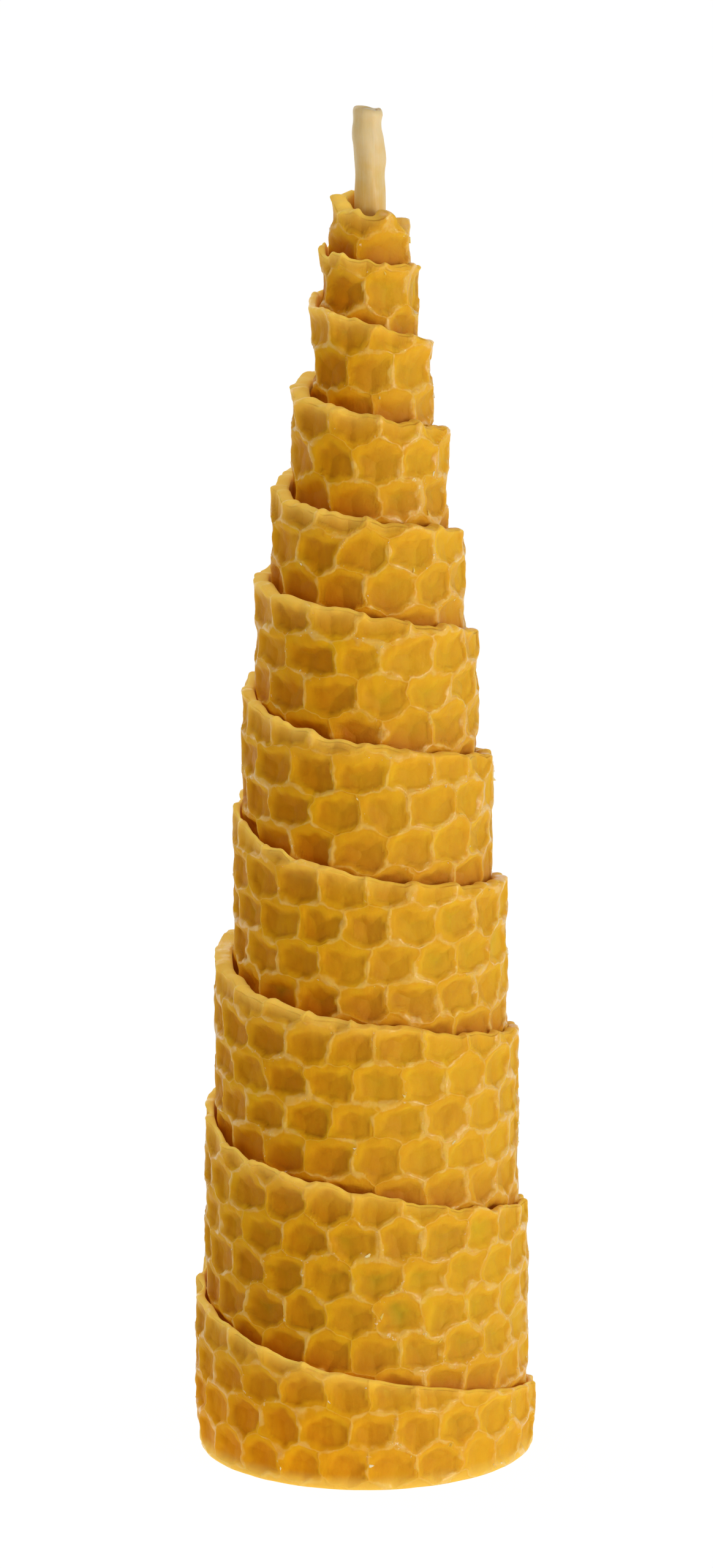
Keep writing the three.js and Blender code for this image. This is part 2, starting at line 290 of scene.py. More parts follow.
class Roll:
    """Where the wound sheet lies, at each length along it.

    A turn takes up its room, so the disc inside the sheet's middle line grows by that room's
    area: middle radius^2 = start^2 + (area of the room so far) / pi. The room is a parabola
    through its values at the start, midway and at the tail.
    """

    def __init__(self, s):
        self.s = s
        self.length = s.first_strip + s.second_strip
        self.along = np.linspace(0, self.length, ROLL_STEPS + 1)
        q = self.along / self.length
        inside = s.room_inside * (q - 3 * q**2 / 2 + 2 * q**3 / 3)
        midway = s.room_middle * (2 * q**2 - 4 * q**3 / 3)
        outside = s.room_outside * (2 * q**3 / 3 - q**2 / 2)
        area = self.length * (inside + midway + outside)
        middle = np.sqrt((s.start_radius - s.solid_sheet / 2) ** 2 + area / np.pi)
        self.radius = middle + s.solid_sheet / 2
        turns = np.diff(self.along) / (np.pi * (middle[1:] + middle[:-1]))
        self.turn = s.start_turn + np.concatenate([[0], np.cumsum(turns)])

    def radius_at(self, along):
        return np.interp(along, self.along, self.radius)

    def turn_at(self, along):
        return np.interp(along, self.along, self.turn)

    def by_turn(self, along, rows, places):
        """Smooth curve through values in mm, each row's at the same places in its turn."""
        knots = [n + 1 + place for n in range(len(rows)) for place in places]
        return MM * smooth_through(self.turn_at(along), knots, np.ravel(rows))

    def cut_at(self, along):
        """Straight slant, less one sine wave of bow, plus the hand's strays and a fine wobble."""
        q = along / self.length
        slant = self.s.start_height + (self.s.tail_height - self.s.start_height) * q
        bow = self.s.cut_bow * np.sin(2 * np.pi * q)
        strays = self.by_turn(along, CUT_STRAYS, STRAY_PLACES)
        wobble = sum(size * ripple(along, 0, wave, seed) for size, wave, seed in CUT_WOBBLES)
        raggedness = 1 + RAGGEDNESS * smoothstep(*RAGGED_TURNS, self.turn_at(along))
        return slant - bow + strays + wobble * raggedness * smoothstep(0, CALM_TAIL, slant)

    def swell_at(self, along):
        """How far the turn stands out of the even roll: a smooth curve through TURN_SWELLS."""
        return self.by_turn(along, TURN_SWELLS, SWELL_PLACES)

    def room_at(self, along):
        """Room between a turn's crests and those of the turn inside it, or the wick."""
        turn = self.turn_at(along)
        inner = np.interp(turn - 1, self.turn, self.along)
        azimuth = 2 * np.pi * turn
        wick = MM * (WICK_REACH + WICK_RIGHT * np.cos(azimuth) + WICK_BEHIND * np.sin(azimuth))
        turn_inside = self.radius_at(inner) + self.swell_at(inner)
        inside = np.where(turn - 1 > self.turn[0], turn_inside, wick)
        return self.radius_at(along) + self.swell_at(along) - inside

    def cover_at(self, along):
        """Cut height of the turn outside, or 0 where there is none."""
        outer = self.turn_at(along) + 1
        covered = self.cut_at(np.interp(outer, self.turn, self.along))
        return np.where(outer < self.turn[-1], covered, 0)


ROOT_THREE = math.sqrt(3)


def regular_pitch(s):
    """Height between rows of regular hexagons of the cells' width."""
    return s.cell_width * ROOT_THREE / 2


def nearest_cell(s, x, y):
    """Offset from the nearest cell centre, and that centre's column and row.

    The centres are two rectangular lattices, one for the even rows and one for the odd, half a
    cell over. The nearest of both by distance owns the point, which gives regular hexagons.
    """
    half, pitch = s.cell_width / 2, regular_pitch(s)
    found = []
    for odd in (0, 1):
        column = 2 * np.round(((x - s.first_wall) / half - 1 + odd) / 2) + 1 - odd
        row = 2 * np.round(((y - s.lowest_row) / pitch - odd) / 2) + odd
        dx = x - s.first_wall - column * half
        dy = y - s.lowest_row - row * pitch
        found.append((dx, dy, column, row))
    nearer = np.hypot(*found[1][:2]) < np.hypot(*found[0][:2])
    return [np.where(nearer, b, a) for a, b in zip(*found)]


def cell_number(column, row, seed):
    """A fixed number between -1 and 1 for each cell, from the fraction of a large sine."""
    value = np.sin(column * 12.9898 + row * 78.233 + seed * 3.17) * 43758.5453
    return 2 * (value - np.floor(value)) - 1


COARSE_WAVE = 6 * MM
FINE_WAVE = 2.1 * MM
FINE_SHARE = 0.35


def wander(s, turn, x, y):
    """Sheet coordinates on which the cells are regular hexagons: less the hand's drift, shifted
    by two scales of ripple, so that the walls run wavily, and stretched upwards. A product of
    a cosine along and a sine up, both in step with the cells, levels their tops and feet."""
    turns, along, up = np.transpose(CELL_DRIFTS)
    x = x - MM * smooth_through(turn, turns, along)
    y = y - MM * smooth_through(turn, turns, up)
    coarse, fine = s.waviness, FINE_SHARE * s.waviness
    dx = coarse * ripple(x, y, COARSE_WAVE, 11) + fine * ripple(x, y, FINE_WAVE, 12)
    dy = coarse * ripple(x, y, COARSE_WAVE, 13) + fine * ripple(x, y, FINE_WAVE, 14)
    x, rows_up = x + dx, (y + dy - s.lowest_row) / s.row_pitch
    level = np.cos(2 * np.pi * (x - s.first_wall) / s.cell_width) * np.sin(np.pi * rows_up)
    return x, s.lowest_row + rows_up * regular_pitch(s) - s.levelling * level


# A cell's walls: the way to each from the cell's middle, in degrees, and the width of its
# sloping side in mm. The roller dragged the wax as it let go, so the sides to the left and
# above are broad, and the others steep.
WALL_RUNS = ((0, 0.45), (60, 1.45), (120, 1.60), (180, 1.15), (240, 0.70), (300, 0.50))
# The ways up the floor's three faces, in degrees
FLOOR_WAYS = (90, 210, 330)
# How much crests, sloping sides and floors differ from cell to cell, and how far crests dip
CREST_UNEVENNESS = 0.8
SIDE_UNEVENNESS = 0.15
FLOOR_UNEVENNESS = 0.10
CREST_DIP = 0.05 * MM


def pressed_cells(s, turn, along, height):
    """Depth below the crests, how far down its cell's walls a point is, and the cell's tone.

    Inside the crests the product of one smoothstep for each wall sinks to the floor, whose
    three flat faces rise from the deepest point at the floor's slope: the rise is the largest
    of the offsets towards three directions.
    """
    x, y = wander(s, turn, along, height)
    dx, dy, column, row = nearest_cell(s, x, y)
    crest = s.wall_crest / 2 * (1 + CREST_UNEVENNESS * ripple(x, y, 5 * MM, 15))
    breadth = MM * (1 + SIDE_UNEVENNESS * cell_number(column, row, 1))
    sink = 1.0
    for degrees, run in WALL_RUNS:
        a = math.radians(degrees)
        inward = s.cell_width / 2 - dx * math.cos(a) - dy * math.sin(a) - crest
        sink = sink * smoothstep(0, run * breadth, inward)
    ways = [math.radians(a) for a in FLOOR_WAYS]
    rise = s.floor_slope * np.max([dx * math.cos(a) + dy * math.sin(a) for a in ways], axis=0)
    floor = s.cell_depth * (1 + FLOOR_UNEVENNESS * cell_number(column, row, 2)) - rise
    dip = CREST_DIP * (1 + ripple(x, y, 2.6 * MM, 16))
    return dip * (1 - sink) + floor * sink, sink, cell_number(column, row, 3)


# Meshes


def grid_faces(rows, columns, closed_rows=False, closed_columns=False):
    """Quads of a grid whose point number is row * columns + column, counterclockwise when the
    columns run rightwards and the rows upwards."""
    r = np.arange(rows if closed_rows else rows - 1)[:, None]
    c = np.arange(columns if closed_columns else columns - 1)[None, :]
    up, right = (r + 1) % rows, (c + 1) % columns
    corners = [r * columns + c, r * columns + right, up * columns + right, up * columns + c]
    return np.stack(np.broadcast_arrays(*corners), -1).reshape(-1, 4)


def rings(x, y, reach, height, azimuth):
    """Points of a grid that winds round the upright line, or slightly bent one, at x and y."""
    points = [x + reach * np.cos(azimuth), y + reach * np.sin(azimuth), height + 0 * azimuth]
    return np.stack(points, -1).reshape(-1, 3)


def put_in_scene(name, data):
    thing = bpy.data.objects.new(name, data)
    bpy.context.scene.collection.objects.link(thing)
    return thing


def make_piece(name, points, faces, caps=(), attributes=None, flat_map=None, smooth=True):
    """Mesh object at the origin from points, like faces, end caps and values on the points."""
    mesh = bpy.data.meshes.new(name)
    loops = np.concatenate([faces.ravel(), *caps]).astype(np.int32)
    sizes = [faces.shape[1]] * len(faces) + [len(cap) for cap in caps]
    starts = np.concatenate([[0], np.cumsum(sizes)[:-1]]).astype(np.int32)
    mesh.vertices.add(len(points))
    mesh.vertices.foreach_set("co", points.astype(np.float32).ravel())
    mesh.loops.add(len(loops))
    mesh.loops.foreach_set("vertex_index", loops)
    mesh.polygons.add(len(sizes))
    mesh.polygons.foreach_set("loop_start", starts)
    mesh.polygons.foreach_set("use_smooth", np.full(len(sizes), smooth))
    for key, values in (attributes or {}).items():
        layer = mesh.attributes.new(key, "FLOAT", "POINT")
        layer.data.foreach_set("value", values.astype(np.float32).ravel())
    if flat_map is not None:
        layer = mesh.uv_layers.new(name="sheet")
        layer.data.foreach_set("uv", flat_map[loops].astype(np.float32).ravel())
    mesh.update(calc_edges=True)
    mesh.validate()
    return put_in_scene(name, mesh)


def seat(piece, node, material):
    """The piece rides on the candle and stands for its solid."""
    piece.data.materials.append(material)
    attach(piece, BODY)
    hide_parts(node)


# Columns and shown rows of each strip's grid
INNER_GRID = (1300, 56)
OUTER_GRID = (1010, 78)
# Its other rows: under the next turn, over the lip, and down the back, below the lip and as
# shares of the lowest of those
COVERED_ROWS = 3
LIP_ROWS = 6
BACK_OFFSETS = tuple(MM * d for d in (0.25, 0.6, 1.0, 1.5, 2.1, 2.8, 3.6))
BACK_SHARES = (0.5, 0.0)
# How far down behind the next turn's cut the fine rows go on
LOOK_IN = 2.6 * MM

# The cut edge: how far it dips over a cell's floor, where the cut is high enough, how thin and
# thick the knife can leave it, and how far down it is spread
CUT_DIP = 0.28 * MM
DIP_HEIGHTS = (8 * MM, 20 * MM)
LIP_LIMITS = (0.7 * MM, 3.0 * MM)
SPREAD_REACH = 5 * MM

# The foot: its rounded edge, and the height over which standing has pressed the cells flat
FOOT_ROUNDING = 0.3 * MM
FOOT_EDGE = 0.12 * MM
FOOT_PRESSED = (1.5 * MM, 0.2 * MM)


def strip_grid(roll, s, along, shown_rows):
    """The strip's closed cross-section at each place along it, as heights and depths.

    Up the outer face: a few rows where the next turn covers it, many where it shows. Over the
    lip, which the knife has spread until it fills the room: half an ellipse. Down the back:
    rows that start fine and end at the foot.
    """
    cut = roll.cut_at(along)
    turn = roll.turn_at(along)
    sink = pressed_cells(s, turn, along, cut)[1]
    cut = cut - CUT_DIP * sink * smoothstep(*DIP_HEIGHTS, cut)
    top = cut - s.lip
    low = np.clip(roll.cover_at(along) - LOOK_IN, FOOT_ROUNDING, 0.8 * top)
    covered = np.linspace(0, 1, COVERED_ROWS, endpoint=False)[:, None] * low
    shown = low + np.linspace(0, 1, shown_rows)[:, None] * (top - low)
    front = np.concatenate([covered, shown])
    depth, sink, tone = pressed_cells(s, turn, along, front)
    lip_thickness = np.clip(roll.room_at(along) - s.lip_gap, *LIP_LIMITS)
    spread = lip_thickness - s.thickness
    pinched = smoothstep(SPREAD_REACH, 0, cut - front) * np.minimum(spread, 0)
    depth *= 1 + pinched / (s.thickness - s.web)
    foot_press = smoothstep(*FOOT_PRESSED, front)
    depth = depth * (1 - 0.75 * foot_press) + FOOT_EDGE * smoothstep(FOOT_ROUNDING, 0, front)
    sink = sink * (1 - 0.8 * foot_press)
    back = top - np.array(BACK_OFFSETS)[:, None] * np.minimum(1, 0.8 * top / BACK_OFFSETS[-1])
    back = np.concatenate([back, back[-1] * np.array(BACK_SHARES)[:, None]])
    pitted = pressed_cells(s, turn, along + s.cell_width / 2, back)[0] * smoothstep(0, 3 * MM, back)
    back_depth = s.thickness - 0.2 * pitted + spread * smoothstep(SPREAD_REACH, 0, cut - back)
    angle = np.linspace(0, np.pi, LIP_ROWS + 2)[1:-1, None]
    lip = top + s.lip * np.sin(angle)
    share = (1 - np.cos(angle)) / 2
    lip_depth = depth[-1] * (1 - share) + lip_thickness * share
    heights = np.concatenate([front, lip, back])
    calm = np.zeros((len(heights) - len(front), len(along)))
    inwards = np.concatenate([share**3, np.ones((len(back), 1))]) + calm
    x, y = wander(s, turn, along, heights)
    return {
        "height": heights,
        "depth": np.concatenate([depth, lip_depth, back_depth]),
        "sink": np.concatenate([sink, calm]),
        "tone": np.concatenate([tone * sink, calm]),
        "behind": np.concatenate([0 * front, inwards]),
        "below_cut": cut - heights,
        "above_cover": heights - roll.cover_at(along),
        "flat": np.stack([x - s.first_wall, y - s.lowest_row], -1) / s.cell_width,
    }


# How a shown band strays from the even roll: its swell fades over COVER_FADE where it is covered,
# its edge is uneven down to EDGE_REACH, and the upper turns are flared down to FLARE_REACH
COVER_FADE = 3 * MM
EDGE_UNEVENNESS = 0.13 * MM
EDGE_REACH = 2 * MM
FLARE = 0.32 * MM
FLARE_REACH = 1.5 * MM
FLARED_TURNS = (5, 2)
# How far and how high the foot is tucked in
FOOT_TUCK = 0.45 * MM
FOOT_TUCK_HEIGHT = 5 * MM


def band_swell(roll, along, grid):
    """How far the sheet stands out of the even roll: the turn's own swell, which fades where
    the next turn covers it, an uneven edge at the cut, which the knife has flared on the upper
    turns, and the rounded foot of the candle."""
    below, above = np.maximum(grid["below_cut"], 0), grid["above_cover"]
    swell = roll.swell_at(along) * np.exp(np.minimum(above, 0) / COVER_FADE)
    unevenness = EDGE_UNEVENNESS * ripple(along, 0, 7 * MM, 22) * np.exp(-below / EDGE_REACH)
    flare = FLARE * smoothstep(*FLARED_TURNS, roll.turn_at(along))
    flare = flare * (1 + 0.6 * ripple(along, 0, 9 * MM, 23))
    unevenness = unevenness + flare * np.exp(-(below / FLARE_REACH) ** 2)
    foot = FOOT_TUCK * smoothstep(FOOT_TUCK_HEIGHT, 0, grid["height"]) ** 2
    return swell + unevenness - np.where(roll.cover_at(along) <= 0, foot, 0)


# The slow wave's height in mm, at the outside and how much more of it there is near the wick
WAVE_OUTSIDE = 0.05
WAVE_MORE_AT_WICK = 0.16
WAVE_LENGTH = 13 * MM
WAVY_TURNS = (3.5, 0.8)


def slow_wave(roll, along, height):
    """How far the hand-rolled sheet waves in and out, most near the wick."""
    near_wick = smoothstep(*WAVY_TURNS, roll.turn_at(along))
    size = (WAVE_OUTSIDE + WAVE_MORE_AT_WICK * near_wick) * MM
    return size * ripple(along, height, WAVE_LENGTH, 21)


# How far down the lips' painted glow and paleness reach and how far up a gap's painted shade does,
# the heights between which the foot is painted paler, and how far in front of +X the side lies
# that faces the key light and is painted paler and flatter
LIP_REACH = 1.1 * MM
GAP_REACH = 2.2 * MM
FOOT_PALES = (1.9 * MM, 0.3 * MM)
LIT_SIDE_ANGLE = math.radians(25)
# How much closer the grid's columns stand at the front, between these sines of the azimuth
FRONT_CLOSENESS = 0.7
FRONT_SINES = (0.5, -0.3)


def wax_strip(name, start, end, columns, shown_rows):
    """One strip, wound: the azimuth follows the roll's turns and the radius is the roll's, less
    the depth, plus a slow wave and the band's swell. The columns stand closer together towards
    -Y, the front."""
    scene = bpy.context.scene
    s, roll = scene.wax_sheet, Roll(scene.candle_roll)
    fine = np.linspace(start, end, 8 * columns)
    front = smoothstep(*FRONT_SINES, np.sin(2 * np.pi * roll.turn_at(fine)))
    closeness = 1 + FRONT_CLOSENESS * front
    share = np.cumsum(closeness) - closeness[0]
    along = np.interp(np.linspace(0, share[-1], columns), share, fine)
    grid = strip_grid(roll, s, along, shown_rows)
    azimuth = 2 * np.pi * roll.turn_at(along)
    wave = slow_wave(roll, along, grid["height"])
    radius = roll.radius_at(along) - grid["depth"] + wave + band_swell(roll, along, grid)
    points = rings(0, 0, radius, grid["height"], azimuth)
    rows = len(grid["height"])
    quads = grid_faces(rows, columns, closed_rows=True)
    ring = np.arange(rows) * columns
    caps = (ring[::-1], ring + columns - 1)
    shows = grid["above_cover"]
    outermost = roll.cover_at(along) <= 0
    attributes = {
        "floor": grid["sink"],
        "tone": grid["tone"],
        # Masks for painted light: glow and paleness at the lips, shade and glow in the gaps, glow
        # behind the lips, the paler side facing the key light, and the paler foot
        "lip": np.exp(-np.maximum(grid["below_cut"], 0) / LIP_REACH),
        "crevice": np.where(outermost, 0, np.exp(-np.maximum(shows, 0) / GAP_REACH)),
        "behind": grid["behind"],
        "lit_side": smoothstep(-0.1, 0.95, np.cos(azimuth + LIT_SIDE_ANGLE)) + 0 * shows,
        "foot": np.where(outermost, smoothstep(*FOOT_PALES, grid["height"]), 0),
    }
    return make_piece(name, points, quads, caps, attributes, grid["flat"].reshape(-1, 2))


# Crumbs

CRUMB_TRIES = 12000
CRUMB_COUNT = 280
CRUMB_SIZES = (0.16 * MM, 0.7 * MM)
# The share of its size that a crumb is sunk by, how far it stays above the next turn's cut, what
# that and the lip take off the band's height, and the least height of a band that holds crumbs
CRUMB_BEDDED = 0.5
CRUMB_CLEARANCE = 0.5 * MM
CRUMB_MARGINS = 1.4 * MM
CRUMB_BAND = 2 * MM
OCTAHEDRON = ((1, 0, 0), (-1, 0, 0), (0, 1, 0), (0, -1, 0), (0, 0, 1), (0, 0, -1))
OCTAHEDRON_FACES = (
    (0, 2, 4), (2, 1, 4), (1, 3, 4), (3, 0, 4), (2, 0, 5), (1, 2, 5), (3, 1, 5), (0, 3, 5)
)


def crumbs(name):
    """Flakes of wax that stick to the crests in clusters, mostly on the right: each is a flat
    octahedron with uneven points, turned at random and sunk into the sheet."""
    scene = bpy.context.scene
    s, roll = scene.wax_sheet, Roll(scene.candle_roll)
    rng = np.random.default_rng(41)
    along = rng.uniform(0, roll.length, CRUMB_TRIES)
    cover, cut = roll.cover_at(along), roll.cut_at(along)
    up = rng.uniform(0, 1, len(along))
    height = cover + CRUMB_CLEARANCE + up * (cut - cover - CRUMB_MARGINS)
    turn = roll.turn_at(along)
    depth, sink, _ = pressed_cells(s, turn, along, height)
    liked = 0.12 + 0.88 * smoothstep(-0.5, 0.9, np.cos(2 * np.pi * turn + LIT_SIDE_ANGLE))
    liked = liked * smoothstep(0.1, 1.0, ripple(along, height, 7 * MM, 42))
    kept = (sink < 0.2) & (rng.uniform(0, 1, len(along)) < liked) & (cut - cover > CRUMB_BAND)
    chosen = np.flatnonzero(kept)[:CRUMB_COUNT]
    band = {"below_cut": cut - height, "above_cover": height - cover, "height": height}
    wave = slow_wave(roll, along, height)
    radius = roll.radius_at(along) + wave + band_swell(roll, along, band) - depth
    azimuth = 2 * np.pi * turn
    corners, faces = np.array(OCTAHEDRON, float), np.array(OCTAHEDRON_FACES)
    smallest, largest = CRUMB_SIZES
    points = []
    for i in chosen:
        size = smallest + (largest - smallest) * rng.uniform(0, 1) ** 3
        uneven = corners * rng.uniform(0.5, 1.2, (6, 1)) * (size, size, 0.6 * size)
        turned = uneven @ np.linalg.qr(rng.normal(size=(3, 3)))[0]
        reach = radius[i] - CRUMB_BEDDED * size
        place = (reach * math.cos(azimuth[i]), reach * math.sin(azimuth[i]), height[i])
        points.append(turned + place)
    triangles = [faces + len(corners) * n for n in range(len(points))]
    return make_piece(name, np.concatenate(points), np.concatenate(triangles), smooth=False)


# The wick

# Height above the floor, place right of the axis and radius of the waxed wick, in mm
WICK_SECTIONS = (
    (0.0, 0.48, 1.69),
    (132.7, 0.48, 1.69),
    (141.5, 0.66, 1.86),
    (144.2, 0.60, 1.76),
    (146.1, 0.59, 1.78),
    (148.1, 0.56, 1.74),
    (150.1, 0.55, 1.64),
    (151.7, 0.59, 1.78),
    (153.4, 0.44, 1.77),
    (154.3, 0.31, 1.78),
    (155.4, 0.21, 1.67),
    (156.2, 0.26, 1.63),
    (156.9, 0.31, 1.72),
)
WICK_BEND = 134 * MM
# Where the wick's colour starts to pale towards its tip
CREAM_FROM = 144 * MM
WICK_TIP = 157.0 * MM
WICK_TIP_ROUNDING = 0.6 * MM
# How far the coat closes in on the braid at its tip, and down to what depth
COAT_CLOSING = 0.2 * MM
COAT_CLOSING_DEPTH = 1.5 * MM
# Ridges of the strands under the wax, lumps in it, and the ragged cut
STRAND_RIDGES = 0.016 * MM
COAT_LUMPS = 0.05 * MM
RAGGED_TIP = 0.06 * MM
BRAID_TIP = WICK_TIP + 0.25 * MM
BRAID_DOME = 0.3 * MM
BRAID_RELIEF = 0.14


def stem(height):
    """Place right of the axis and radius of the wick at each height."""
    heights, places, radii = (np.array(column) * MM for column in zip(*WICK_SECTIONS))
    return smooth_through(height, heights, places), smooth_through(height, heights, radii)


def wick_coat(s):
    """Outer skin up, a rounded lip over and the bore down, as rings. The radius carries soft
    upright ridges from the strands under the wax and a slow lumpiness."""
    columns = 96
    low = np.linspace(0, WICK_BEND, 30, endpoint=False)
    high = np.linspace(WICK_BEND, WICK_TIP, 110)
    angle = np.linspace(0, 0.8 * np.pi, 12)[1:]
    outside = np.concatenate([low, high])
    place, radius = stem(outside)
    lip_place, lip_radius = place[-1], radius[-1]
    lip = WICK_TIP + WICK_TIP_ROUNDING * np.sin(angle)
    lip_reach = lip_radius + (s.bore - COAT_CLOSING - lip_radius) * (1 - np.cos(angle)) / 2
    inside = np.concatenate([np.linspace(WICK_TIP, WICK_BEND, 30), [0]])
    bore = s.bore - COAT_CLOSING * smoothstep(WICK_TIP - COAT_CLOSING_DEPTH, WICK_TIP, inside)
    heights = np.concatenate([outside, lip, inside])[:, None]
    places = np.concatenate([place, np.full(len(lip), lip_place), stem(inside)[0]])[:, None]
    reach = np.concatenate([radius, lip_reach, bore])[:, None]
    theta = np.linspace(0, 2 * np.pi, columns, endpoint=False)[None, :]
    x, y = np.cos(theta), np.sin(theta)
    skin = smoothstep(s.bore, s.bore + 0.3 * MM, reach)
    strands = STRAND_RIDGES * np.cos(s.strands * theta + 2 * np.pi * heights / (3 * s.braid_pitch))
    lumps = COAT_LUMPS * ripple(x * 2 * MM + heights / 3, y * 2 * MM, 3.2 * MM, 31)
    reach = reach + skin * (strands + lumps)
    tip = smoothstep(WICK_TIP - 1.2 * MM, WICK_TIP + WICK_TIP_ROUNDING, heights)
    ragged = RAGGED_TIP * ripple(x * 1.2 * MM, y * 1.2 * MM, 1.9 * MM, 33)
    z = heights + tip * (ragged - s.cut_slant * reach * x)
    points = rings(places, MM * WICK_BEHIND, reach, z, theta)
    rows = len(heights)
    quads = grid_faces(rows, columns, closed_rows=True, closed_columns=True)
    attributes = {"up": smoothstep(CREAM_FROM, WICK_TIP, heights) + 0 * reach}
    return make_piece("wick_coat", points, quads, attributes=attributes)


def cotton_braid(s):
    """Rings whose radius swells where one of two sets of spiral strands comes to the surface:
    the larger of |cos| of the angle plus and minus the climb. A dome closes the tip."""
    columns = 64
    low = np.linspace(0, WICK_BEND, 60, endpoint=False)
    steps = np.concatenate([low, np.linspace(WICK_BEND, BRAID_TIP, 140)])
    place = stem(steps)[0]
    dome = np.linspace(0, np.pi / 2, 8)[1:-1]
    heights = np.concatenate([steps, BRAID_TIP + BRAID_DOME * np.sin(dome)])[:, None]
    places = np.concatenate([place, np.full(len(dome), place[-1])])[:, None]
    shrink = np.concatenate([np.ones(len(steps)), np.cos(dome)])[:, None]
    theta = np.linspace(0, 2 * np.pi, columns, endpoint=False)[None, :]
    climb = np.pi * heights / s.braid_pitch * s.strands / 2
    one = np.abs(np.cos(s.strands / 4 * theta + climb))
    other = np.abs(np.cos(s.strands / 4 * theta - climb))
    reach = s.braid * shrink * (1 - BRAID_RELIEF + BRAID_RELIEF * np.maximum(one, other))
    points = rings(places, MM * WICK_BEHIND, reach, heights, theta)
    rows = len(heights)
    quads = grid_faces(rows, columns, closed_columns=True)
    ring = np.arange(columns)
    caps = (ring[::-1], ring + (rows - 1) * columns)
    return make_piece("cotton_braid", points, quads, caps)


# Materials

WAX_IOR = 1.44

# The setting that a kind of node takes its choice by
CHOICES = {
    "Math": "operation",
    "VectorMath": "operation",
    "MapRange": "interpolation_type",
    "Mix": "data_type",
}
TIMES = "Math MULTIPLY"
PLUS = "Math ADD"
MINUS = "Math SUBTRACT"
LARGER = "Math MAXIMUM"
SMALLER = "Math MINIMUM"
RAMP = "MapRange SMOOTHSTEP"
BLEND = "Mix RGBA"


def node_adder(tree):
    """Clears a node tree and gives back the one function that adds nodes to it."""
    tree.nodes.clear()

    def add(kind, *values, named=None, out=None, **settings):
        """Adds a node and gives back one output, the first in use unless out names another.

        The kind may end in the node's choice, as in "Math ADD". The values go to the inputs in
        use, in order, and those of named to the inputs so called. A socket is linked.
        """
        kind, _, choice = kind.partition(" ")
        node = tree.nodes.new("ShaderNode" + kind)
        if choice:
            settings[CHOICES[kind]] = choice
        for key, value in settings.items():
            setattr(node, key, value)
        pairs = list(zip((socket for socket in node.inputs if socket.enabled), values))
        pairs += [(node.inputs[key], value) for key, value in (named or {}).items()]
        for socket, value in pairs:
            if isinstance(value, bpy.types.NodeSocket):
                tree.links.new(value, socket)
            elif socket.type == "RGBA":
                socket.default_value = (*value[:3], 1)
            else:
                socket.default_value = value
        if out:
            return node.outputs[out]
        return next((socket for socket in node.outputs if socket.enabled), None)

    return add


def new_material(name):
    """An empty node material and the function that adds nodes to it."""
    material = bpy.data.materials.new(name)
    material.use_nodes = True
    return material, node_adder(material.node_tree)


def grain(add, size, detail=3.0, roughness=0.6, stretch=1):
    """Noise with lumps of about the given size in mm, on Object coordinates, drawn out along Z."""
    place = add("TexCoord", out="Object")
    drawn = add("Mapping", named={"Vector": place, "Scale": (1, 1, 1 / stretch)})
    lumps = {"Vector": drawn, "Scale": 1 / (size * MM), "Detail": detail, "Roughness": roughness}
    return add("TexNoise", named=lumps)


# How far the walls' painted lines stray from the pressed ones, in cells, over what length
LINE_STRAY = 0.10
LINE_STRAY_SIZE = 1.3 * MM


def wrapped_cell(add, flat, shift_x, shift_y):
    """Offset from the nearest centre of one rectangular lattice, one unit by root three."""
    moved = add("VectorMath ADD", flat, (shift_x, shift_y, 0))
    wrapped = add("VectorMath WRAP", moved, (1, ROOT_THREE, 1), (0, 0, 0))
    return add("VectorMath SUBTRACT", wrapped, (0.5, ROOT_THREE / 2, 0))


def cell_place(add):
    """Where a point lies in its cell on the sheet's own map, whose unit is one cell.

    The nearest centre of two rectangular lattices owns the point, as in the mesh. Given back
    are the distance from the nearest wall, how far down its walls a point is, and the rise
    towards the far ends of the floor's three faces.
    """
    flat = add("UVMap", uv_map="sheet")
    lumps = {"Vector": add("TexCoord", out="Object"), "Scale": 1 / LINE_STRAY_SIZE}
    stray = add("TexNoise", named=lumps, out="Color")
    stray = add("VectorMath SUBTRACT", stray, (0.5, 0.5, 0.5))
    stray = add("VectorMath MULTIPLY", stray, (LINE_STRAY, LINE_STRAY, LINE_STRAY))
    flat = add("VectorMath ADD", flat, stray)
    # Odd rows have a centre at x = 0 and even rows at x = half a cell
    even = wrapped_cell(add, flat, 0.0, ROOT_THREE / 2)
    odd = wrapped_cell(add, flat, 0.5, 0.0)
    from_even, from_odd = (add("VectorMath LENGTH", offset) for offset in (even, odd))
    nearest = add("Mix VECTOR", add("Math LESS_THAN", from_odd, from_even), even, odd)

    def towards(degrees):
        way = (math.cos(math.radians(degrees)), math.sin(math.radians(degrees)), 0)
        return add("VectorMath DOT_PRODUCT", nearest, way)

    cell = bpy.context.scene.wax_sheet.cell_width
    wall, sunk, rise = 0.5, 1.0, -1.0
    for degrees, run in WALL_RUNS:
        inward = add(MINUS, 0.5, towards(degrees))
        wall = add(SMALLER, wall, inward)
        sunk = add(TIMES, sunk, add(RAMP, inward, 0.0, run * MM / cell))
    for degrees in FLOOR_WAYS:
        rise = add(LARGER, rise, towards(degrees))
    return wall, sunk, rise


# Strength of the painted glow that stands in for light the wax passes on, its shares in the gaps,
# in the lips and at the foot, and how far up it reaches from the table
PAINTED_GLOW_STRENGTH = 0.13
PAINTED_GLOW_IN_GAPS = 0.3
PAINTED_GLOW_IN_LIPS = 2.2
PAINTED_GLOW_AT_FOOT = 2.0
PAINTED_GLOW_UP_TO = 18 * MM


